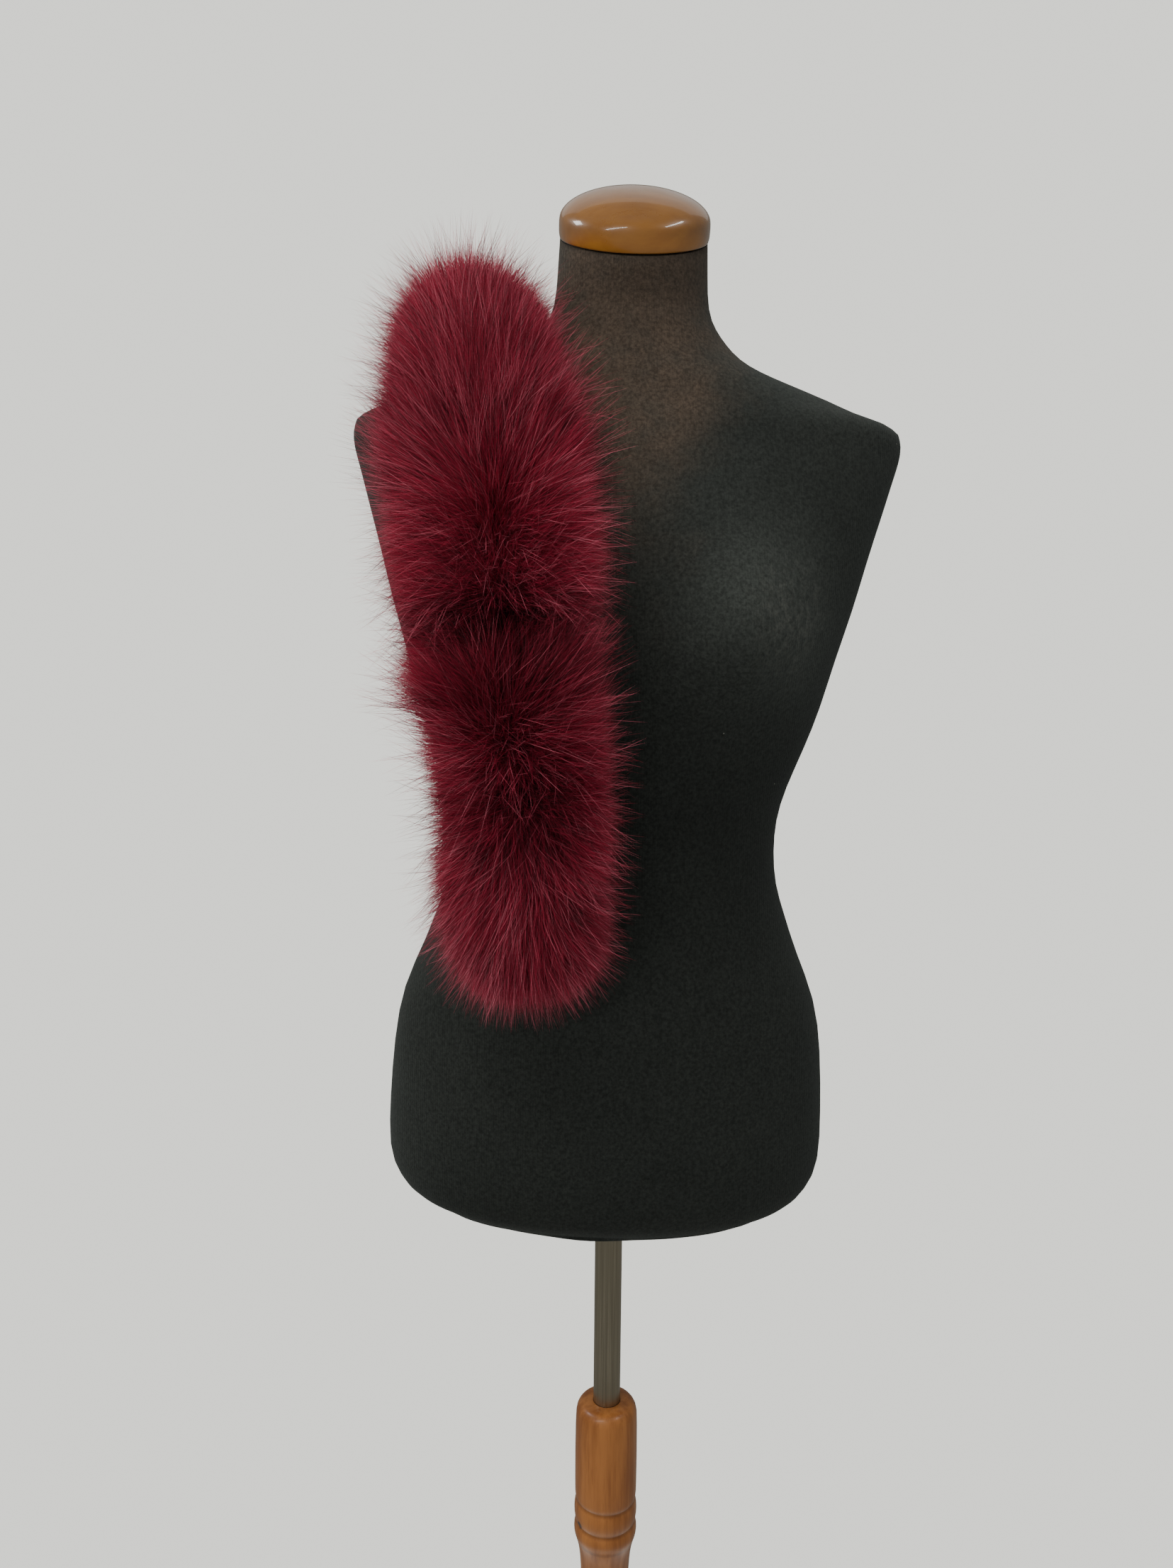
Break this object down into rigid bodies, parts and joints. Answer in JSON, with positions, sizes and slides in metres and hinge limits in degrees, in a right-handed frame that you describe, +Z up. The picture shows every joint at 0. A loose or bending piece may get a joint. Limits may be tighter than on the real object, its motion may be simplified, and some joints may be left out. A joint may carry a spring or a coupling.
{
  "type": "fur collar wrap on a dress form",
  "caption": "Long-haired fur wrap pieced from skins, laid over one shoulder of a limbless jersey dress form on a turned stand.",
  "frame": {"origin": "centre of the foot's underside, on the floor", "axes": "+Z up along the post and the pole, -Y the way the form faces, +X towards the form's own left"},
  "size_m": [0.3999, 0.3859, 1.5525],
  "materials": {
    "fur": "long dyed hair",
    "jersey": "matte knitted jersey",
    "lacquered_wood": "high gloss lacquer",
    "steel": "brushed along the tube",
    "turned_wood": "satin varnish"
  },
  "bodies": {
    "root": {"fur_front_end": "fur", "fur_waist": "fur", "fur_chest": "fur", "fur_shoulder": "fur", "fur_blade": "fur", "fur_back_end": "fur", "form": "jersey", "neck_cap": "lacquered_wood", "pole": "steel", "post": "turned_wood", "foot": "turned_wood"}
  },
  "joints": []
}
